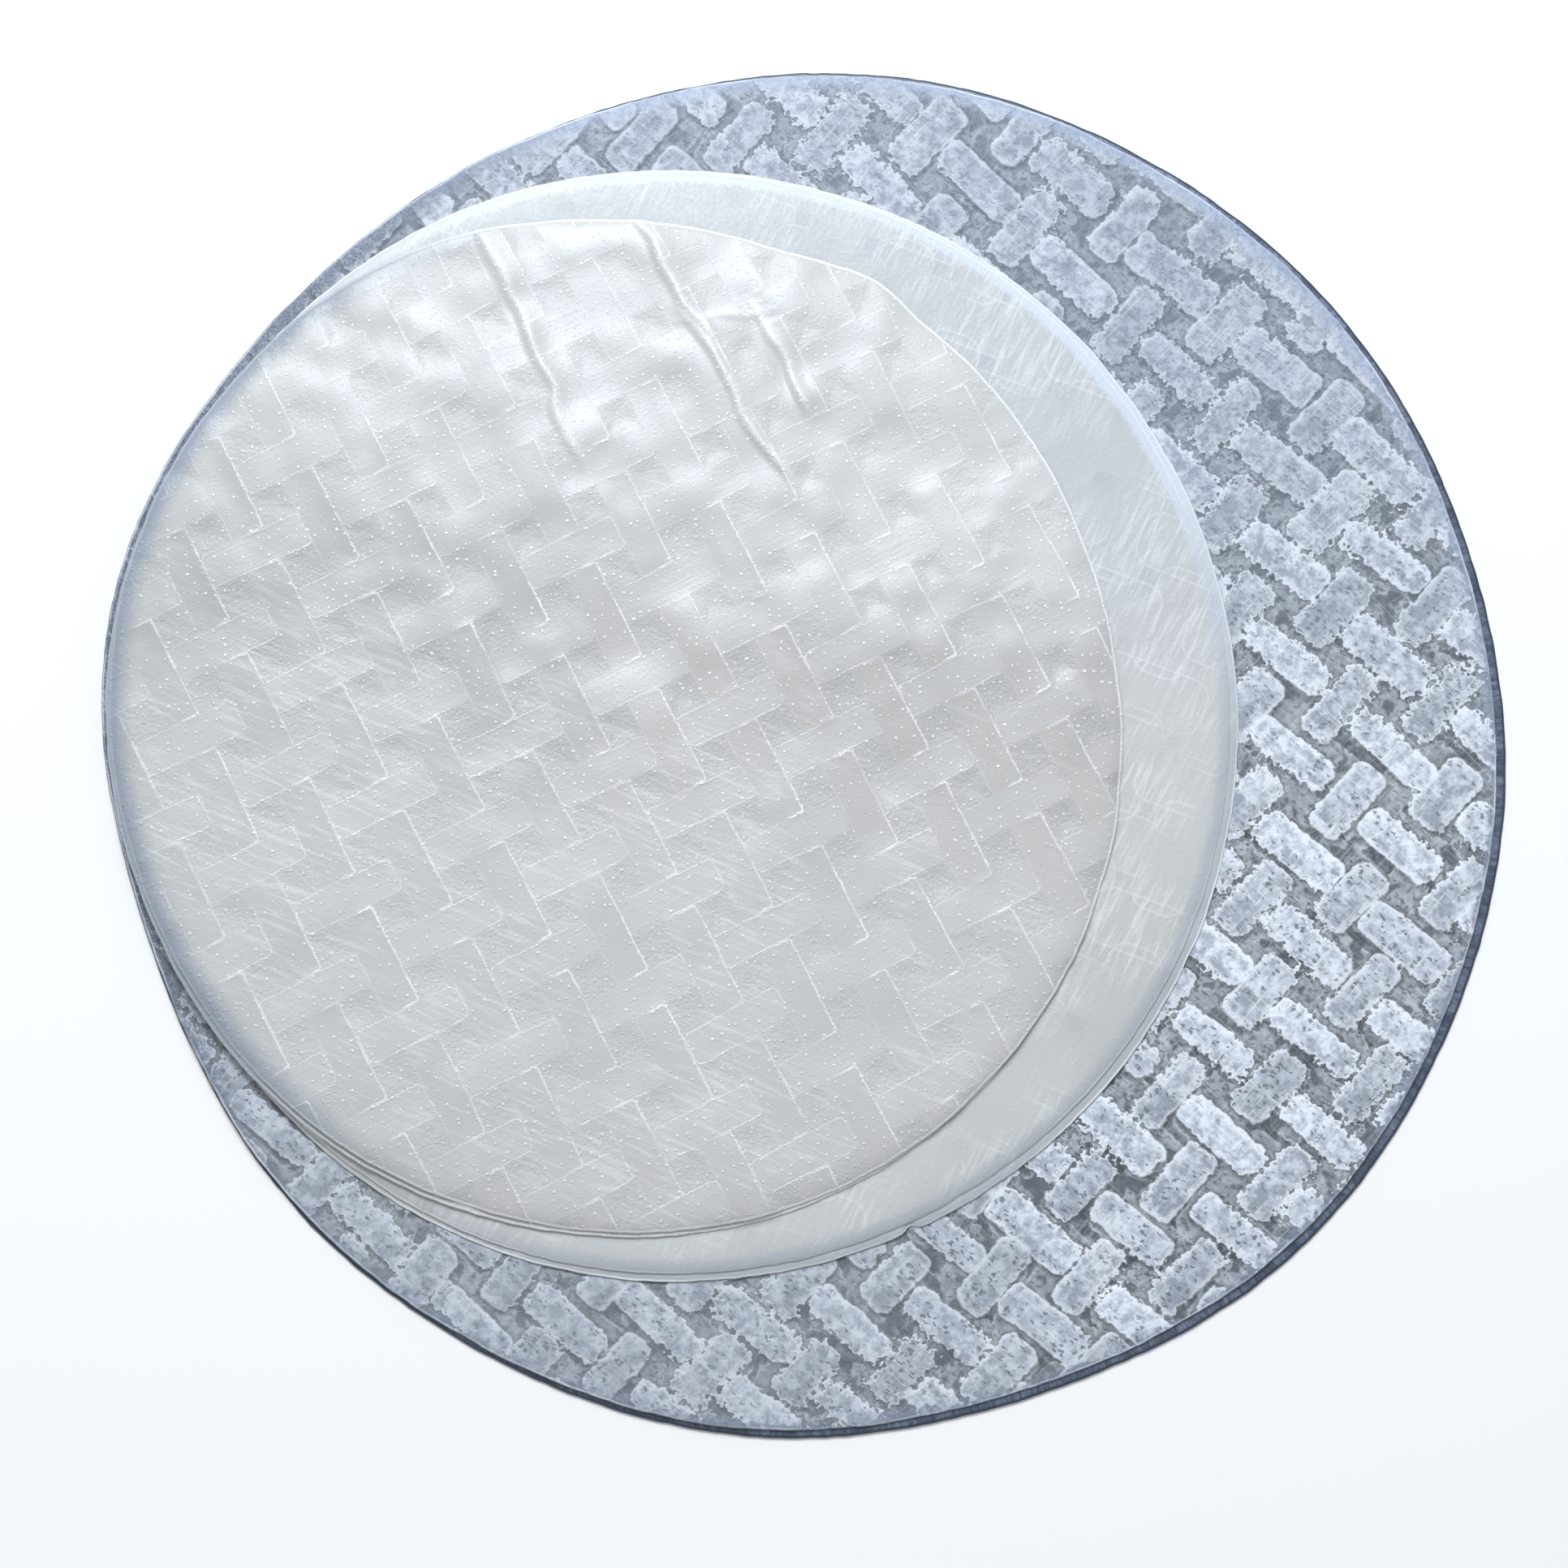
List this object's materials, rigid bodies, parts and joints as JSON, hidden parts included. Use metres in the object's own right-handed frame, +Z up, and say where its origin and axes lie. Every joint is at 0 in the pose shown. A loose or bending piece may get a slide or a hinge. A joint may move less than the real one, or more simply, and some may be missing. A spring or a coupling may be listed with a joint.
{
  "type": "rice paper wrapper stack",
  "caption": "Loose stack of round dried rice paper sheets in three sizes, mat-patterned and translucent, used to wrap spring rolls",
  "frame": {"origin": "middle of the bounding box on the plane the stack lies on", "axes": "+Z up through the thickness of the sheets, +X to the right, +Y away from the viewer; the smaller sheets lie off towards -X"},
  "size_m": [0.2234, 0.2192, 0.0068],
  "materials": {
    "wrapper_22_lower": "dried rice starch sheet, blue-grey where it lies alone, satin",
    "wrapper_22_upper": "dried rice starch sheet, white mat prints on a darker film, satin",
    "wrapper_18_lower": "dried rice starch sheet, milky, satin",
    "wrapper_18_upper": "dried rice starch sheet, milky, satin",
    "wrapper_16_lower": "dried rice starch sheet, milky white, satin",
    "wrapper_16_upper": "dried rice starch sheet, milky white with a basket mat relief, satin to glossy"
  },
  "bodies": {
    "root": {"wrapper_22_lower": "wrapper_22_lower", "wrapper_22_upper": "wrapper_22_upper", "wrapper_18_lower": "wrapper_18_lower", "wrapper_18_upper": "wrapper_18_upper", "wrapper_16_lower": "wrapper_16_lower", "wrapper_16_upper": "wrapper_16_upper"}
  },
  "joints": []
}
